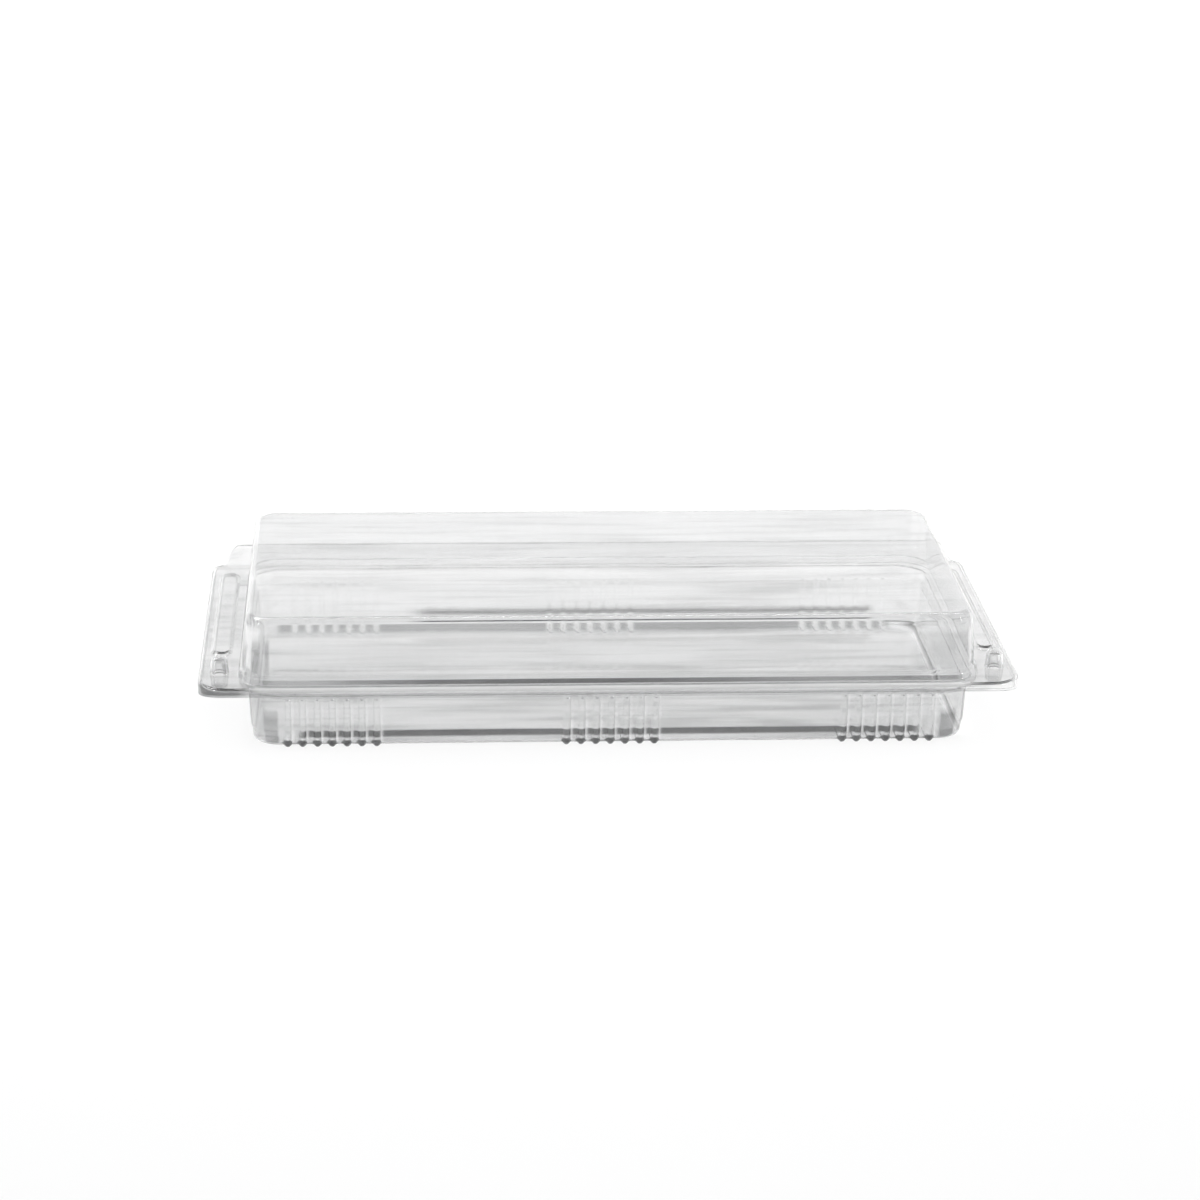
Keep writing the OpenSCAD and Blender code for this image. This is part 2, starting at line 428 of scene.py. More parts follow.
def rings(base, dirs, path):
    """Points of a section path at every station: rows are path points, columns are stations."""
    xy = base[None] + dirs[None] * path[:, None, 0:1]
    z = np.repeat(path[:, 1][:, None], len(base), 1)
    return np.concatenate([xy, z[..., None]], -1)


def wobble(p, seed, size):
    """Slow unevenness of a formed sheet, about -1 to 1, from a few fixed waves."""
    rng = np.random.RandomState(seed)
    out = np.zeros(p.shape[:-1])
    for _ in range(9):
        k = rng.normal(size=3)
        k = k / np.linalg.norm(k) * (2 * math.pi / (size * rng.uniform(0.6, 1.7)))
        out += np.sin(p @ k + rng.uniform(0, 2 * math.pi))
    return out / 3.0


def rib_profile(d):
    """Rounded rib, 1 at its middle and 0 beyond half its width."""
    return smooth((1 - np.abs(d) / (RIB_W / 2)) / 0.87)


def rib_at(x):
    out = np.zeros_like(x)
    for r in RIB_X:
        out = np.maximum(out, rib_profile(x - r))
    return out


# ------------------------------------------------------------------ outline with turned-down skirt and raised back strip
BEND = 0.8                    # bend radius at the outline, mid sheet


def outline(hx, yf, yb, rf, rb, skirt_front, skirt_wing, strip):
    """Stations along the outline at mid sheet: position, outward normal, bend angle and straight length."""
    P, N, A, S = [], [], [], []
    half_arc = math.pi / 4 * rb

    def put(p, n, a, s):
        P.append(p)
        N.append(n)
        A.append(a)
        S.append(s)

    def rear(e):
        """Bend angle and straight length by arc distance e from the middle of a rear corner, towards the back."""
        a = -90 + 90 * float(smooth(np.array((e + 8.0) / 7.0))) + 90 * float(smooth(np.array((e - 0.6) / 4.2)))
        s = skirt_wing - BEND
        s = s + (0.22 - s) * float(smooth(np.array((e + 14.5) / 6.5)))
        x = hx - rb - (e - half_arc)          # distance from the middle, once on the back edge
        if e > 3.0:
            w = np.clip((x - 124.0) / (hx - rb - (3.0 - half_arc) - 124.0), 0, 1)
            s = 0.22 + (strip - BEND - 0.22) * (0.5 + 0.5 * math.cos(math.pi * float(w) ** 1.5))
        return a, s

    # right half from the middle of the front, anticlockwise
    for x in [0, 12, 24, 36, 48, 60, 72, 84, 96, 106, 114, hx - rf - 3]:
        put((x, yf), (0, -1), -90, skirt_front - BEND)
    n = 16
    for i in range(n + 1):
        a = math.radians(-90 + 90 * i / n)
        w = float(smooth(np.array(i / n)))
        put((hx - rf + rf * math.cos(a), yf + rf + rf * math.sin(a)), (math.cos(a), math.sin(a)),
            -90, skirt_front - BEND + (skirt_wing - skirt_front) * w)
    y0, y1 = yf + rf, yb - rb
    ys = list(np.arange(y0 + 4, 44, 7.0)) + list(np.arange(45.5, y1 - 0.4, 1.0))
    for y in ys:
        e = -(half_arc + (y1 - y))
        a, s = rear(e)
        put((hx, y), (1, 0), a, s)
    n = 12
    for i in range(n + 1):
        w = math.radians(90 * i / n)
        e = (i / n - 0.5) * 2 * half_arc
        a, s = rear(e)
        put((hx - rb + rb * math.cos(w), y1 + rb * math.sin(w)), (math.cos(w), math.sin(w)), a, s)
    xs = [x for x in np.arange(hx - rb - 0.6, 123.0, -0.5)] + [119, 112, 100, 88, 76, 64, 52, 40, 28, 16, 6]
    for x in xs:
        e = half_arc + (hx - rb - x)
        a, s = rear(e)
        put((x, yb), (0, 1), a, s)
    P, N = np.array(P, float), np.array(N, float)
    A, S = np.array(A, float), np.array(S, float)
    # mirror: the first front station lies on the middle and isn't doubled
    Pm, Nm = P[::-1] * [-1, 1], N[::-1] * [-1, 1]
    P = np.concatenate([P, Pm[:-1]])
    N = np.concatenate([N, Nm[:-1]])
    A = np.concatenate([A, A[::-1][:-1]])
    S = np.concatenate([S, S[::-1][:-1]])
    return P, N, A, S


def outline_rows(P, N, A, S, z, arc_steps=6, straight=3, room=0.3):
    """Rows from a loop on the flat plate, round the bend, to the free edge."""
    ang = np.radians(np.abs(A))
    over = np.maximum(0, BEND * np.sin(ang) + S * np.cos(ang) - BEND)   # keeps every section inside the outline
    q = P - N * (BEND + over)[:, None]
    rows = [np.column_stack([q - N * room, np.full(len(P), z)])]
    sign = np.where(A < 0, -1.0, 1.0)
    for j in range(arc_steps + 1):
        w = ang * j / arc_steps
        rows.append(np.column_stack([q + N * (BEND * np.sin(w))[:, None], z + sign * BEND * (1 - np.cos(w))]))
    last = rows[-1]
    d = np.column_stack([N * np.cos(ang)[:, None], sign * np.sin(ang)])
    marks = [0.25] + [0.25 + (1 - 0.25) * j / straight for j in range(1, straight + 1)]
    for m in marks:
        rows.append(last + d * (S * m)[:, None])
    return np.array(rows)


# ------------------------------------------------------------------ bosses on the wings
def stadium(cx, y0, y1, n_arc=14, n_side=9):
    """Directions round a line segment: base point and outward direction of each station, anticlockwise."""
    base, dirs = [], []
    for i in range(n_arc + 1):
        a = math.radians(-180 + 180 * i / n_arc)
        base.append((cx, y0))
        dirs.append((math.cos(a), math.sin(a)))
    for i in range(1, n_side):
        base.append((cx, y0 + (y1 - y0) * i / n_side))
        dirs.append((1, 0))
    for i in range(n_arc + 1):
        a = math.radians(180 * i / n_arc)
        base.append((cx, y1))
        dirs.append((math.cos(a), math.sin(a)))
    for i in range(1, n_side):
        base.append((cx, y1 - (y1 - y0) * i / n_side))
        dirs.append((-1, 0))
    return np.array(base, float), np.array(dirs, float)


def bead(skin, cx, path, z):
    """Raised bead with round ends. path runs from its top to the flat plate."""
    base, dirs = stadium(cx, BEAD_Y0, BEAD_Y1)
    p = rings(base, dirs, path)
    p[..., 2] += z
    skin.grid(p, closed=True)
    skin.flat(p[0][:, :2], [], float(p[0][0, 2]))
    return p[-1][:, :2]


def stud(skin, cx, path, z, n=40):
    a = np.radians(np.arange(n) * 360 / n)
    base = np.tile([[cx, STUD_Y]], (n, 1))
    dirs = np.column_stack([np.cos(a), np.sin(a)])
    p = rings(base, dirs, path)
    p[..., 2] += z
    skin.grid(p, closed=True)
    centre = np.tile([[cx, STUD_Y, p[0][0, 2]]], (n, 1))
    skin.grid(np.array([centre, p[0]]), closed=True)
    return p[-1][:, :2]


def spaced(lo, hi, step):
    n = max(1, round((hi - lo) / step))
    return [lo + (hi - lo) * i / n for i in range(n + 1)]


# ------------------------------------------------------------------ materials
def clear_material(name, seed, clear_tint, streaks, ior=1.57):
    m = bpy.data.materials.new(name)
    m.use_nodes = True
    nt = m.node_tree
    for n in list(nt.nodes):
        nt.nodes.remove(n)
    new, L = nt.nodes.new, nt.links.new

    def ramp(stops):
        r = new("ShaderNodeValToRGB")
        el = r.color_ramp.elements
        while len(el) > 1:
            el.remove(el[-1])
        for k, (pos, col) in enumerate(stops):
            e = el[0] if k == 0 else el.new(pos)
            e.position, e.color = pos, (col[0], col[1], col[2], 1) if isinstance(col, tuple) else (col, col, col, 1)
        return r

    out = new("ShaderNodeOutputMaterial")
    mix = new("ShaderNodeMixShader")
    path = new("ShaderNodeLightPath")
    # light that falls through: little is lost square on, most where it skims along the sheet
    clear = new("ShaderNodeBsdfTransparent")
    graze = new("ShaderNodeLayerWeight")
    graze.inputs["Blend"].default_value = 0.5
    shade = ramp([(0.0, 0.997), (0.5, 0.993), (0.7, 0.985), (0.82, 0.965), (0.92, 0.90), (1.0, 0.70)])
    L(graze.outputs["Facing"], shade.inputs["Fac"])
    L(shade.outputs["Color"], clear.inputs["Color"])

    bsdf = new("ShaderNodeBsdfPrincipled")
    bsdf.inputs["IOR"].default_value = ior
    coord = new("ShaderNodeTexCoord")
    # painted shade: the dense attribute darkens the sheet's colour along bends, edges and other marked places, on top
    # of the sheet's own tint
    dense = new("ShaderNodeAttribute")
    dense.attribute_name = "dense"
    c = clear_tint
    tint_and_shade = ramp([(0.0, 0.99), (0.1, (c, c + 0.003, c + 0.005)), (0.55, (0.60, 0.603, 0.606)), (1.0, (0.13, 0.132, 0.134))])
    # streaks drawn out along the sheet: they thin the painted shade here and there and darken the untinted parts a
    # little
    along = new("ShaderNodeMapping")
    along.inputs["Location"].default_value = (seed * 1.7, 0, 0)
    along.inputs["Scale"].default_value = (0.07, 1.0, 1.0)
    drawn = new("ShaderNodeTexNoise")
    drawn.inputs["Scale"].default_value = 290.0
    drawn.inputs["Detail"].default_value = 1.8
    L(coord.outputs["Object"], along.inputs["Vector"])
    L(along.outputs["Vector"], drawn.inputs["Vector"])
    thin = new("ShaderNodeMapRange")
    thin.inputs["From Min"].default_value = 0.32
    thin.inputs["From Max"].default_value = 0.62
    thin.inputs["To Min"].default_value = 0.35
    thin.inputs["To Max"].default_value = 1.0
    L(drawn.outputs["Fac"], thin.inputs["Value"])
    firm = new("ShaderNodeMath")
    firm.operation = "POWER"
    firm.inputs[1].default_value = 1.6
    L(dense.outputs["Fac"], firm.inputs[0])
    keep = new("ShaderNodeMix")
    keep.data_type = "FLOAT"
    keep.inputs["B"].default_value = 1.0
    L(firm.outputs["Value"], keep.inputs["Factor"])
    L(thin.outputs["Result"], keep.inputs["A"])
    how = new("ShaderNodeMath")
    how.operation = "MULTIPLY"
    L(dense.outputs["Fac"], how.inputs[0])
    L(keep.outputs["Result"], how.inputs[1])
    place = new("ShaderNodeMapRange")
    place.inputs["From Min"].default_value = -0.1111
    place.inputs["From Max"].default_value = 1.0
    L(how.outputs["Value"], place.inputs["Value"])
    L(place.outputs["Result"], tint_and_shade.inputs["Fac"])
    veil = ramp([(0.30, streaks), (0.46, 0.75 + streaks / 4), (0.62, 1.0)])
    L(drawn.outputs["Fac"], veil.inputs["Fac"])
    both = new("ShaderNodeMix")
    both.data_type = "RGBA"
    both.blend_type = "MULTIPLY"
    both.inputs["Factor"].default_value = 1.0
    L(tint_and_shade.outputs["Color"], both.inputs["A"])
    # across the ends of the box the streaks run out
    faces = new("ShaderNodeSeparateXYZ")
    L(coord.outputs["Normal"], faces.inputs[0])
    size_x = new("ShaderNodeMath")
    size_x.operation = "ABSOLUTE"
    L(faces.outputs["X"], size_x.inputs[0])
    calm = new("ShaderNodeMapRange")
    calm.inputs["From Min"].default_value = 0.35
    calm.inputs["From Max"].default_value = 0.80
    calm.inputs["To Min"].default_value = 0.0
    calm.inputs["To Max"].default_value = 0.85
    L(size_x.outputs["Value"], calm.inputs["Value"])
    even = new("ShaderNodeMix")
    even.data_type = "RGBA"
    e = 0.86 + streaks / 8
    even.inputs["B"].default_value = (e, e, e, 1)
    L(calm.outputs["Result"], even.inputs["Factor"])
    L(veil.outputs["Color"], even.inputs["A"])
    L(even.outputs["Result"], both.inputs["B"])
    # painted shade: the colour darkens where the sheet is seen along its surface
    edge_on = new("ShaderNodeLayerWeight")
    edge_on.inputs["Blend"].default_value = 0.5
    rim = ramp([(0.74, 1.0), (0.88, 0.80), (1.0, 0.40)])
    L(edge_on.outputs["Facing"], rim.inputs["Fac"])
    edge_shaded = new("ShaderNodeMix")
    edge_shaded.data_type = "RGBA"
    edge_shaded.blend_type = "MULTIPLY"
    plain = new("ShaderNodeMapRange")
    plain.inputs["From Min"].default_value = -0.12
    plain.inputs["From Max"].default_value = 0.0
    L(dense.outputs["Fac"], plain.inputs["Value"])
    # clear places are also free of streaks
    less = new("ShaderNodeMapRange")
    less.inputs["To Min"].default_value = 0.35
    L(plain.outputs["Result"], less.inputs["Value"])
    L(less.outputs["Result"], both.inputs["Factor"])
    L(plain.outputs["Result"], edge_shaded.inputs["Factor"])
    L(both.outputs["Result"], edge_shaded.inputs["A"])
    L(rim.outputs["Color"], edge_shaded.inputs["B"])
    L(edge_shaded.outputs["Result"], bsdf.inputs["Base Color"])
    # painted highlight: above nought the attribute makes the sheet mirror-like (metallic), for light lines beside the
    # ribs and along the floor's ends
    painted_highlight = new("ShaderNodeAttribute")
    painted_highlight.attribute_name = "painted_highlight"
    back = new("ShaderNodeMapRange")
    L(painted_highlight.outputs["Fac"], back.inputs["Value"])
    L(back.outputs["Result"], bsdf.inputs["Metallic"])
    # painted highlight: below nought the attribute lowers the transmission, so the sheet turns matt white where the
    # lamps reach it
    white_highlight = new("ShaderNodeMapRange")
    white_highlight.inputs["From Min"].default_value = -1.0
    white_highlight.inputs["From Max"].default_value = 0.0
    L(painted_highlight.outputs["Fac"], white_highlight.inputs["Value"])
    L(white_highlight.outputs["Result"], bsdf.inputs["Transmission Weight"])
    # slow unevenness of the cooled sheet
    off = new("ShaderNodeMapping")
    off.inputs["Location"].default_value = (seed, seed * 0.37, 0)
    off.inputs["Scale"].default_value = (0.55, 1.0, 1.0)
    big = new("ShaderNodeTexNoise")
    big.inputs["Scale"].default_value = 55.0
    big.inputs["Detail"].default_value = 1.0
    # fine drawing lines along the sheet
    lines = new("ShaderNodeMapping")
    lines.inputs["Scale"].default_value = (0.04, 1.0, 1.0)
    fine = new("ShaderNodeTexNoise")
    fine.inputs["Scale"].default_value = 900.0
    fine.inputs["Detail"].default_value = 2.0
    bump = new("ShaderNodeBump")
    bump.inputs["Strength"].default_value = 0.10
    bump.inputs["Distance"].default_value = 0.0004
    bump2 = new("ShaderNodeBump")
    bump2.inputs["Strength"].default_value = 0.03
    bump2.inputs["Distance"].default_value = 0.00005
    L(coord.outputs["Object"], off.inputs["Vector"])
    L(off.outputs["Vector"], big.inputs["Vector"])
    L(coord.outputs["Object"], lines.inputs["Vector"])
    L(lines.outputs["Vector"], fine.inputs["Vector"])
    L(big.outputs["Fac"], bump.inputs["Height"])
    L(fine.outputs["Fac"], bump2.inputs["Height"])
    L(bump.outputs["Normal"], bump2.inputs["Normal"])
    L(bump2.outputs["Normal"], bsdf.inputs["Normal"])
    # roughness: light handling marks
    rub = new("ShaderNodeTexNoise")
    rub.inputs["Scale"].default_value = 22.0
    rub.inputs["Detail"].default_value = 4.0
    worn = new("ShaderNodeMapRange")
    worn.inputs["From Min"].default_value = 0.45
    worn.inputs["From Max"].default_value = 0.75
    worn.inputs["To Min"].default_value = 0.012
    worn.inputs["To Max"].default_value = 0.05
    L(off.outputs["Vector"], rub.inputs["Vector"])
    L(rub.outputs["Fac"], worn.inputs["Value"])
    L(worn.outputs["Result"], bsdf.inputs["Roughness"])
    L(path.outputs["Is Shadow Ray"], mix.inputs["Fac"])
    L(bsdf.outputs["BSDF"], mix.inputs[1])
    L(clear.outputs["BSDF"], mix.inputs[2])
    L(mix.outputs["Shader"], out.inputs["Surface"])
    return m


tray_mat = clear_material("clear_sheet_tray", 3.0, 0.885, 0.74)
lid_mat = clear_material("clear_sheet_lid", 7.0, 0.935, 0.89)
fold_mat = clear_material("clear_sheet_fold", 5.0, 0.95, 0.95, 1.08)

def window(x, a, b, soft):
    """1 between a and b, falling to 0 over soft on either side."""
    return smooth((x - a) / soft + 1) * smooth((b - x) / soft + 1)


def section_place(v, cx, cy):
    """Distance from the corner-centre rectangle, and the plan direction (0 along the sides' middle, 1 at 45 degrees of a corner)."""
    dx, dy = np.maximum(np.abs(v[:, 0]) - cx, 0), np.maximum(np.abs(v[:, 1]) - cy, 0)
    u = np.hypot(dx, dy)
    th = np.degrees(np.arctan2(dx, np.maximum(dy, 1e-9)))   # 0 facing front or back, 90 facing an end
    th[(dx == 0)] = 0
    return u, th


def rib_side(x, shift, half):
    """1 within half of a line beside each rib."""
    out = np.zeros_like(x)
    for r in RIB_X:
        out = np.maximum(out, smooth(1.35 - np.abs(x - r - shift) / half))
    return out


def corner_bands(th, z, z0, z1, bands):
    """Upright bands of painted shade round a corner: (from, to, how dark) in degrees from facing front."""
    out = np.zeros_like(th)
    for a, b, k in bands:
        out = np.maximum(out, k * window(th, a, b, 5.0))
    return out * window(z, z0, z1, 2.0)


def tray_shade(v):
    x, y, z = v.T
    u, th = section_place(v, TCX, TCY)
    wall = u > 7.0
    front, back = (y < 0) & (th < 60), (y > 0) & (th < 60)
    ax = np.abs(x)
    corner = (y < -TCY) & (ax > TCX)
    d = np.zeros(len(v))
    ribs = rib_side(x, 0.0, 1.3)
    # painted shade: dark bands on the step above the foot, front and back, and low on the back wall
    run = 1 - smooth((ax - 99.5) / 4.0)
    d = np.maximum(d, np.where(front & wall, 0.95 * run * window(z, 4.2, 6.2, 0.5), 0))
    run_back = smooth((x + 67) / 5.0) * (1 - smooth((x - 99) / 5.0))
    d = np.maximum(d, np.where(back & wall, 1.0 * run_back * window(z, 5.7, 7.0, 0.4), 0))
    d = np.maximum(d, np.where(back & wall, 0.38 * run * window(z, 1.0, 2.2, 1.2) * (1 - 0.3 * ribs), 0))
    # painted shade along the foot of the back wall
    d = np.maximum(d, np.where((y > 0), 0.66 * (1 - smooth((ax - np.where(x > 0, 106, 110)) / 3.0)) * smooth((y - 47.0) / 6.0) * (1 - smooth((z - 2.5) / 0.6)) * (1 - 0.25 * ribs), 0))
    # painted shade: a dark line along the front bottom edge
    d = np.maximum(d, np.where((y < 0) & (z < 1.9), 0.55 * window(-y, 54.4, 55.3, 0.4) * (1 - smooth((ax - 108) / 5)), 0))
    # ribs: painted shade is taken off thin lines beside them where they cross the step, and their feet get dots of
    # painted shade
    light = rib_side(x, 1.55, 0.42)
    d = np.where(front & (z > 3.6), d * (1 - np.where(ax < 30, 0.55, 0.78) * light), d)
    near = np.min(np.abs(x[:, None] - np.array(RIB_X)[None] + 0.1), 1)
    foot = smooth((1.85 - np.hypot(near, 1.05 * (z - 1.6))) / 0.45) * (y < -54.0)
    d = np.maximum(d, np.where(front & (z < 3.8), foot, 0))
    # painted shade: upright dark bands round the front corners, with unshaded ones between
    d = np.maximum(d, np.where(corner & (x < 0), corner_bands(th, z, 2.0, 16.5, [(80, 92, 0.70)]), 0))
    d = np.maximum(d, np.where(corner & (x < 0), corner_bands(th, z, 8.0, 18.5, [(68, 92, 0.75)]), 0))
    d = np.maximum(d, np.where(corner & (x < 0), (0.88 + 0.12 * np.cos(z * 3.1)) * corner_bands(th, z, 1.5, 12.0, [(4, 30, 0.68)]), 0))
    d = np.maximum(d, np.where(corner & (x > 0), corner_bands(th, z, 2.0, 16.5, [(60, 92, 0.70)]), 0))
    d = np.maximum(d, np.where(corner & (x > 0), corner_bands(th, z, 2.0, 10.5, [(-20, 36, 0.70)]), 0))
    # painted shade on the shoulder and rim bends
    d = np.maximum(d, np.where((u > 9) & (u < 12.2), np.where(back, 0.06, 0.30) * window(z, 18.0, 19.4, 0.5), 0))
    # painted shade on the wing skirts at the front corners
    d = np.maximum(d, np.where((x < -117.5) & (y < -51) & (z < 21.7), 0.77 * smooth((ax - 117.5) / 2.0), 0))
    # painted highlight: mirror-like lines beside the ribs, and where floor and the left end wall meet
    h = np.where(front & wall & (z > 2.0) & (z < 19.0), 0.55 * light * (1 - 0.6 * smooth((z - 9.0) / 8.0)), 0)
    ends = (ax > TCX) & (th > 80) & (y < TCY)
    h = np.maximum(h, np.where(ends & (x < 0), 0.4 * smooth((u - 6.4) / 0.6) * window(z, 1.2, 3.0, 0.5), 0))
    # painted highlight: matt white lines where floor and right end wall meet, and in the floor corner behind it
    white_highlight = np.where(ends & (x > 0), 0.9 * smooth((u - 7.0) / 0.4) * (1 - smooth((z - 2.3) / 0.8)), 0)
    white_highlight = np.maximum(white_highlight, np.where((x > 104) & (y > TCY - 3) & (z < 3.2), 0.95 * smooth((x - 104) / 5.0) * smooth((u - 6.9) / 0.5) * smooth((y - TCY + 3) / 4.0) * (1 - smooth((z - 2.3) / 0.9)), 0))
    h = np.where(white_highlight > 0.01, -white_highlight, h)
    # untinted places, lighter than the rest (painted light): the upright strip at the back, the underside of the rear
    # step, the floor before it, the right wing
    clear = np.where(y > 60, smooth((z - 22.6) / 0.8), 0.0)
    clear = np.maximum(clear, np.where(back & wall, window(z, 3.4, 4.8, 0.6) * run, 0))
    clear = np.maximum(clear, np.where((y > 43) & (z < 4.0), 0.8 * ribs, 0))
    clear = np.maximum(clear, np.where((x > TCX + 6) & (y > -TCY + 2) & (z > 3.5) & (z < 19.0), 0.35, 0))
    clear = np.maximum(clear, np.where((y < -59.9) & (z > 20.9) & (ax < 117), 0.9 * smooth((-y - 59.9) / 0.4), 0))
    clear = np.maximum(clear, np.where(np.hypot(ax - STUD_X, y - STUD_Y) < 3.4, 0.9, 0))
    clear = np.maximum(clear, np.where((ax > 119) & (y < -24) & (y > -34), 0.8, 0))
    clear = np.maximum(clear, np.where((y > TCY) & (th < 75) & (u > 9) & (z > 17.5), 0.9, 0))
    clear = np.maximum(clear, np.where(z < 1.5, window(y, 40.0, 44.5, 3.0), 0))
    clear = np.maximum(clear, 0.9 * smooth((x - 119.5) / 3.0))
    d = np.where(clear > 0.01, d * (1 - clear) - 0.12 * clear, d)
    return d, h


def lid_shade(v):
    x, y, z = v.T
    u, th = section_place(v, LCX, LCY)
    ax = np.abs(x)
    dome = (u < 11.1) & (ax < 123.5)
    corner = (y < -LCY) & (ax > LCX)
    d = np.zeros(len(v))
    # painted shade: a dark band on the ledge at the foot of the dome, and a faint one on the flat in front of it
    level = np.where(y < 0, 0.2 + 0.75 * (1 - smooth((th - 8) / 30.0)), np.where(th < 60, 0.06, 0.30))
    level = level * (0.62 + 0.38 * smooth((x + 105) / 50.0)) * (1 - 0.2 * smooth((x - 10) / 60.0))
    level = np.where((th > 60) & (x < 0), 0.55, level)
    d = np.maximum(d, np.where(dome & (u > 8), level * window(z, 23.5, 24.7, 0.45), 0))
    d = np.maximum(d, np.where((y < -59.2) & (y > -61.6) & (ax < 112) & (z > 22.6) & (z < 23.4), 0.25 * (1 - smooth((x + 90) / 30.0)), 0))
    # painted shade on the skirt of the wings at the front corners
    d = np.maximum(d, np.where((x < -117.5) & (y < -51) & (z < 22.3), 0.77 * smooth((ax - 117.5) / 2.0), 0))
    # painted shade on the front lip
    d = np.maximum(d, np.where((y < -61.5) & (z < 21.2), 0.28, 0))
    # painted shade: upright bands on the front corners of the dome
    d = np.maximum(d, np.where(corner & (x < 0), corner_bands(th, z, 27.5, 37.0, [(-10, 9, 0.40), (24, 40, 0.50), (66, 92, 0.30)]), 0))
    d = np.maximum(d, np.where(corner & (x > 0), corner_bands(th, z, 27.5, 38.0, [(-10, 46, 0.34), (68, 92, 0.50)]), 0))
    d = np.maximum(d, np.where((y < -LCY) & (x > 90) & (x <= LCX), 0.34 * window(x, 104, 112, 3.0) * window(z, 27.5, 38.0, 2.0), 0))
    # painted highlight: mirror-like patches on the upper corners of the dome
    h = np.where(corner & (x < 0), 0.8 * window(th, 28, 66, 8) * window(z, 36.0, 41.0, 1.5), 0)
    h = np.maximum(h, np.where(corner, 0.5 * window(th, 46, 56, 5) * window(z, 28.0, 38.0, 2.0), 0))
    # untinted places, lighter than the rest (painted light): the upright strip at the back and the right wing
    clear = np.where(y > 60, smooth((z - 23.2) / 0.8), 0.0)
    clear = np.maximum(clear, 0.9 * smooth((x - 122.5) / 2.0))
    clear = np.maximum(clear, np.where((y < -60.7) & (z > 21.6) & (ax < 117), 0.9 * smooth((-y - 60.7) / 0.4), 0))
    clear = np.maximum(clear, np.where(np.hypot(ax - STUD_X, y - STUD_Y) < 4.1, 0.9, 0))
    clear = np.maximum(clear, np.where((x > LCX + 4) & (y > -LCY + 2) & (z > 26.0) & (z < 44.0), 0.8, 0))
    clear = np.maximum(clear, np.where((ax > 122.6) & (y < -24) & (y > -36), 0.8, 0))
    clear = np.maximum(clear, np.where((y > LCY - 2) & (th < 75) & (u > 8) & (z < 26.5), 0.9, 0))
    # painted highlight: a matt white line along the front bend of the flange
    h = np.where((y < -61.0) & (z > 21.7) & (ax < 121), -0.48 * smooth((-y - 61.0) / 0.35) * smooth((z - 21.7) / 0.4), h)
    d = np.where(clear > 0.01, d * (1 - clear) - 0.12 * clear, d)
    return d, h


# ------------------------------------------------------------------ tray
tray = Skin()
tray_path = rounded(
    [(0, 1.125), (8.55, 1.125), (8.85, 4.5), (9.42, 6.6), (9.974, 17.8), (11.15, 19.3), (11.40, TRAY_Z), (12.9, TRAY_Z)],
    [1.5, 0.9, 1.0, 1.0, 0.7, 0.75], steps=9, gaps=[4, 2, 2, 7, 1, 1, 1])
zs = tray_path[:, 1]
# the dense rings end on the riser under the flange
split = int(np.argmin(np.abs(zs - 19.9) + (tray_path[:, 0] < 11) * 99))
low_path, high_path = tray_path[:split + 1], tray_path[split + 1:]

dense = set(round(x, 6) for x in spaced(-TCX, TCX, 9.0))
rib_marks = [-1.0, -0.84, -0.66, -0.46, -0.24, 0.0, 0.24, 0.46, 0.66, 0.84, 1.0]
xs = []
for r in RIB_X:
    xs += [r + m * RIB_W / 2 for m in rib_marks]
for a, b in zip(RIB_X[:-1], RIB_X[1:]):
    if b - a < 6:
        xs.append((a + b) / 2)
    else:
        xs += spaced(a + RIB_W / 2 + 0.5, b - RIB_W / 2 - 0.5, 8.0) + [a + RIB_W / 2 + 1.1]
xs += [-TCX, TCX, RIB_X[0] - RIB_W / 2 - 0.5, RIB_X[-1] + RIB_W / 2 + 0.5]
xs = sorted(set(round(x, 6) for x in xs))
half_y = [0.0, 9.0, 18.0, 27.0, 33.5, 36.5, 38.0, 39.5, 41.0, 42.5, 44.0, 45.5, TCY]
tys = [-y for y in half_y[:0:-1]] + half_y
NC = 18
base, dirs, side = stations(TCX, TCY, xs, tys, NC)
low = rings(base, dirs, low_path)
pn = path_normals(low_path)
fade = 1 - smooth((low_path[:, 1] - 17.4) / 1.7)
along = np.where(np.isin(side, ["f", "b"]), rib_at(base[:, 0]), 0.0)
amp = RIB_H * along[None, :] * fade[:, None]
# the rear ribs begin only near the foot of the wall
amp = amp * np.where(np.array(side)[None, :] == "b", smooth((low_path[:, 0] - 1.5) / 5.0)[:, None], 1.0)
low[..., :2] += (dirs[None] * pn[:, None, 0:1]) * amp[..., None]
low[..., 2] += pn[:, None, 1] * amp
# gentle waves of the walls between floor and shoulder
wall_w = smooth((low_path[:, 1] - 3.0) / 4.0) * (1 - smooth((low_path[:, 1] - 12.0) / 5.0))
wv = wobble(low, 11, 38.0) * 0.10 * wall_w[:, None]
low[..., :2] += dirs[None] * wv[..., None]
tray.grid(low, closed=True)
# floor
gx, gy = np.meshgrid(np.array(xs), np.array(tys), indexing="ij")
floor_p = np.stack([gx, gy, 1.125 - RIB_H * rib_at(gx) * np.where(gy < 0, smooth((-gy - 36.5) / 10.0), 0.0)], -1)
tray.grid(floor_p)
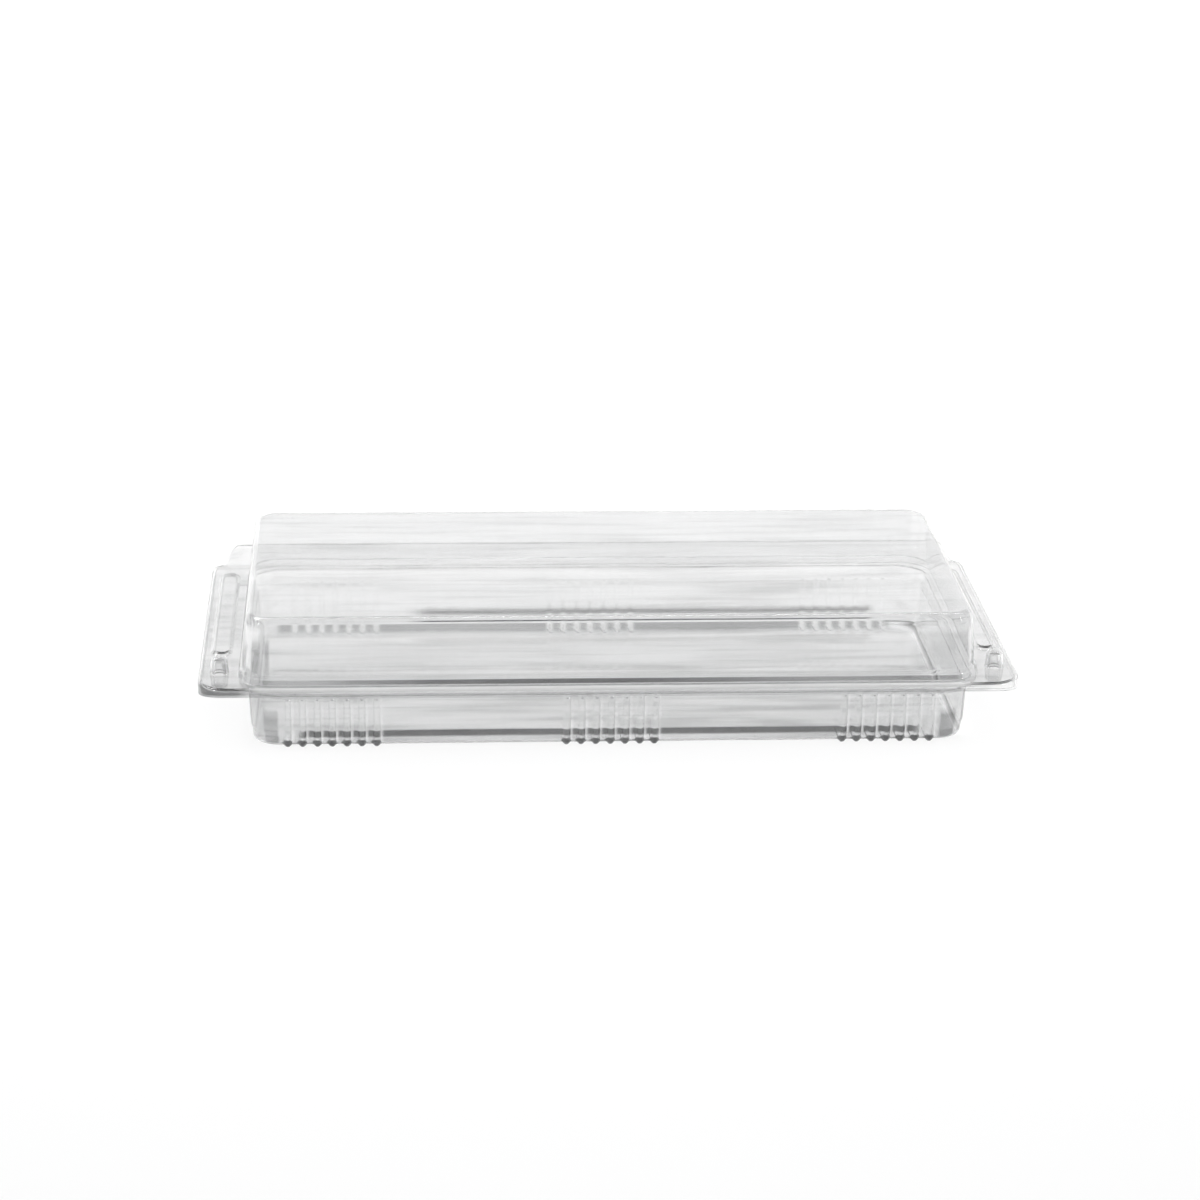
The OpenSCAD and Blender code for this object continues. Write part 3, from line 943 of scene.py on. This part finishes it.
# coarse rings above the riser
pick = []
cxs = spaced(-TCX, TCX, 9.0)
nx, ny = len(xs), len(tys)
keep_x = []
for c in cxs:
    keep_x.append(int(np.argmin(np.abs(np.array(xs) - c))))
keep_x = sorted(set(keep_x))
cxs = [xs[i] for i in keep_x]
cbase, cdirs, cside = stations(TCX, TCY, cxs, tys, NC)
pick = list(keep_x)
o = nx
pick += [o + i for i in range(NC - 1)]
o += NC - 1
pick += [o + i for i in range(ny)]
o += ny
pick += [o + i for i in range(NC - 1)]
o += NC - 1
pick += [o + (nx - 1 - i) for i in reversed(keep_x)]
o += nx
pick += [o + i for i in range(NC - 1)]
o += NC - 1
pick += [o + i for i in range(ny)]
o += ny
pick += [o + i for i in range(NC - 1)]
high = rings(cbase, cdirs, high_path)
tray.zip(low[-1], high[0], pick)
tray.grid(high, closed=True)
# skirt and strip
TO = outline(133.225, -61.325, 62.075, 9.025, 2.275, TRAY_Z - 20.9, TRAY_Z - 19.4, FOLD_TOP - TRAY_Z)
rows = outline_rows(*TO, TRAY_Z)
tray.grid(rows, closed=True)
holes = [high[-1][:, :2]]
bead_path = rounded([(1.4, 0.9), (2.0, 0.9), (2.9, 0.0), (3.9, 0.0)], [0.6, 0.6], steps=7, room=0.25)
stud_path = rounded([(0.35, 5.4), (1.70, 5.4), (2.15, 0.0), (3.4, 0.0)], [1.1, 0.45], steps=8, room=0.25, gaps=[1, 3, 1])
for s in (-1, 1):
    holes.append(bead(tray, s * STUD_X, bead_path, TRAY_Z))
    holes.append(stud(tray, s * STUD_X, stud_path, TRAY_Z))
tray.flat(rows[0][:, :2], holes, TRAY_Z)
tray_ob = shell("tray_shell", tray, (0, -60.3, TRAY_Z), tray_mat, shade=tray_shade)
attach(tray_ob, "tray")
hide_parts("base_tray")

# ------------------------------------------------------------------ lid
lid = Skin()
ld = math.radians(4.3)
lid_foot = 8.0 + (42.175 - 26.2) * math.tan(ld)
lid_top_u = 8.0 - (44.775 - 42.175) * math.tan(ld)
lid_path = rounded(
    [(0, 44.775), (lid_top_u, 44.775), (lid_foot, 26.2), (10.15, 25.25), (10.50, LID_Z), (11.24, LID_Z)],
    [2.6, 0.6, 0.6, 0.7], steps=8, gaps=[2, 8, 1, 3, 1])
lxs, lys = spaced(-LCX, LCX, 7.0), spaced(-LCY, LCY, 7.0)
base, dirs, side = stations(LCX, LCY, lxs, lys, 20)
ring = rings(base, dirs, lid_path)
mask = smooth((lid_path[:, 1] - 27.0) / 4.0) * (1 - smooth((lid_path[:, 1] - 37.0) / 4.5))
wv = wobble(ring, 21, 46.0) * 0.16 * mask[:, None]
ring[..., :2] += dirs[None] * wv[..., None]
lid.grid(ring, closed=True)
gx, gy = np.meshgrid(np.array(lxs), np.array(lys), indexing="ij")
top = np.stack([gx, gy, np.full_like(gx, 44.775)], -1)
inner = smooth((LCX - np.abs(gx)) / 22.0) * smooth((LCY - np.abs(gy)) / 18.0)
top[..., 2] -= inner * (0.22 + 0.13 * wobble(top, 31, 60.0))
lid.grid(top)
LO = outline(133.975, -62.075, 61.325, 9.775, 2.275, LID_Z - 20.4, LID_Z - 18.9, FOLD_TOP - LID_Z)
rows = outline_rows(*LO, LID_Z, room=0.18)
lid.grid(rows, closed=True)
holes = [ring[-1][:, :2]]
bead_path = rounded([(1.9, 0.9), (2.6, 0.9), (3.55, 0.0), (4.5, 0.0)], [0.6, 0.6], steps=7, room=0.25)
stud_path = rounded([(0.35, 5.4), (2.42, 5.4), (2.95, 0.0), (4.1, 0.0)], [1.35, 0.45], steps=8, room=0.25, gaps=[1, 3, 1])
for s in (-1, 1):
    holes.append(bead(lid, s * STUD_X, bead_path, LID_Z))
    holes.append(stud(lid, s * STUD_X, stud_path, LID_Z))
lid.flat(rows[0][:, :2], holes, LID_Z)
lid_ob = shell("lid_shell", lid, (0, 0, 44.7), lid_mat, shade=lid_shade)
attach(lid_ob, "cover")
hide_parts("lid")

# ------------------------------------------------------------------ fold between the two strips
fold = Skin()
fx = spaced(-121.9, 121.9, 10.0)
arc_n = 12
rows = []
for j in range(arc_n + 1):
    w = math.pi * j / arc_n
    rows.append([(x, 61.7 + 0.375 * math.cos(w), FOLD_TOP + 0.14 + 0.375 * math.sin(w)) for x in fx])
rows.insert(0, [(x, 62.075, FOLD_TOP + 0.1) for x in fx])
rows.append([(x, 61.325, FOLD_TOP + 0.1) for x in fx])
fold.grid(np.array(rows))
fold_ob = shell("fold_hinge", fold, (0, 61.7, 31.0), fold_mat,
                shade=lambda v: (np.full(len(v), -0.12), np.zeros(len(v))))
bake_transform(fold_ob)

# ------------------------------------------------------------------ studio
floor_me = bpy.data.meshes.new("floor")
R = 6.0
floor_me.from_pydata([(-R, -R, -0.00003), (R, -R, -0.00003), (R, R, -0.00003), (-R, R, -0.00003)], [], [(0, 1, 2, 3)])
floor_ob = bpy.data.objects.new("floor", floor_me)
scene.collection.objects.link(floor_ob)
fm = bpy.data.materials.new("pale_floor")
fm.use_nodes = True
fb = fm.node_tree.nodes["Principled BSDF"]
fb.inputs["Base Color"].default_value = (0.9, 0.9, 0.9, 1)
fb.inputs["Roughness"].default_value = 0.9
fb.inputs["Specular IOR Level"].default_value = 0.0
floor_me.materials.append(fm)

world = bpy.data.worlds.new("studio")
world.use_nodes = True
scene.world = world
wn = world.node_tree
bg = wn.nodes["Background"]
wc = wn.nodes.new("ShaderNodeTexCoord")
sep = wn.nodes.new("ShaderNodeSeparateXYZ")
ramp = wn.nodes.new("ShaderNodeValToRGB")
ramp.color_ramp.interpolation = "EASE"
e = ramp.color_ramp.elements
e[0].position, e[0].color = 0.30, (0.9, 0.9, 0.9, 1)
e[1].position, e[1].color = 0.52, (0.03, 0.03, 0.03, 1)
wn.links.new(wc.outputs["Generated"], sep.inputs[0])
wn.links.new(sep.outputs["Z"], ramp.inputs["Fac"])
wn.links.new(ramp.outputs["Color"], bg.inputs["Color"])
bg.inputs["Strength"].default_value = 1.0


def area(name, loc, target, sx, sy, power):
    l = bpy.data.lights.new(name, "AREA")
    l.shape = "RECTANGLE"
    l.size, l.size_y = sx, sy
    l.energy = power
    o = bpy.data.objects.new(name, l)
    scene.collection.objects.link(o)
    o.location = loc
    o.rotation_mode = "QUATERNION"
    o.rotation_quaternion = (Vector(target) - Vector(loc)).to_track_quat("-Z", "Y")
    return o


top_soft = area("top_soft", (0.0, 0.8, 2.2), (0.0, 0.8, 0.0), 1.6, 3.2, 77.3)
top_soft.visible_glossy = False
top_soft.visible_transmission = False
top_soft.data.cycles.use_multiple_importance_sampling = False
# slim softboxes, seen only as reflections along rounded edges
for name, loc, sx, sy, power in (
        ("strip_back", (0.0, 0.75, 1.30), 1.9, 0.12, 7.0),
        ("strip_right", (1.15, -0.75, 0.45), 0.10, 0.9, 5.0),
        ("strip_left", (-1.15, -0.75, 0.45), 0.10, 0.9, 2.5),
        ("soft_left", (-0.90, 0.68, 1.41), 0.5, 0.5, 7.5),
        ("soft_corner", (-1.00, 0.20, 1.39), 0.6, 0.6, 5.0),
        ("card_back", (-0.50, 1.60, 0.26), 1.6, 0.48, 1.5)):
    strip = area(name, loc, (0, 0, 0.02), sx, sy, power)
    strip.visible_diffuse = False
    strip.visible_transmission = False
    strip.visible_camera = False

scene.view_settings.view_transform = "Standard"
scene.view_settings.look = "None"
scene.view_settings.exposure = 0.0
scene.view_settings.gamma = 1.0
scene.cycles.max_bounces = 40
scene.cycles.transmission_bounces = 40
scene.cycles.glossy_bounces = 12
scene.cycles.diffuse_bounces = 3
scene.cycles.transparent_max_bounces = 48
scene.cycles.caustics_reflective = False
scene.cycles.caustics_refractive = False
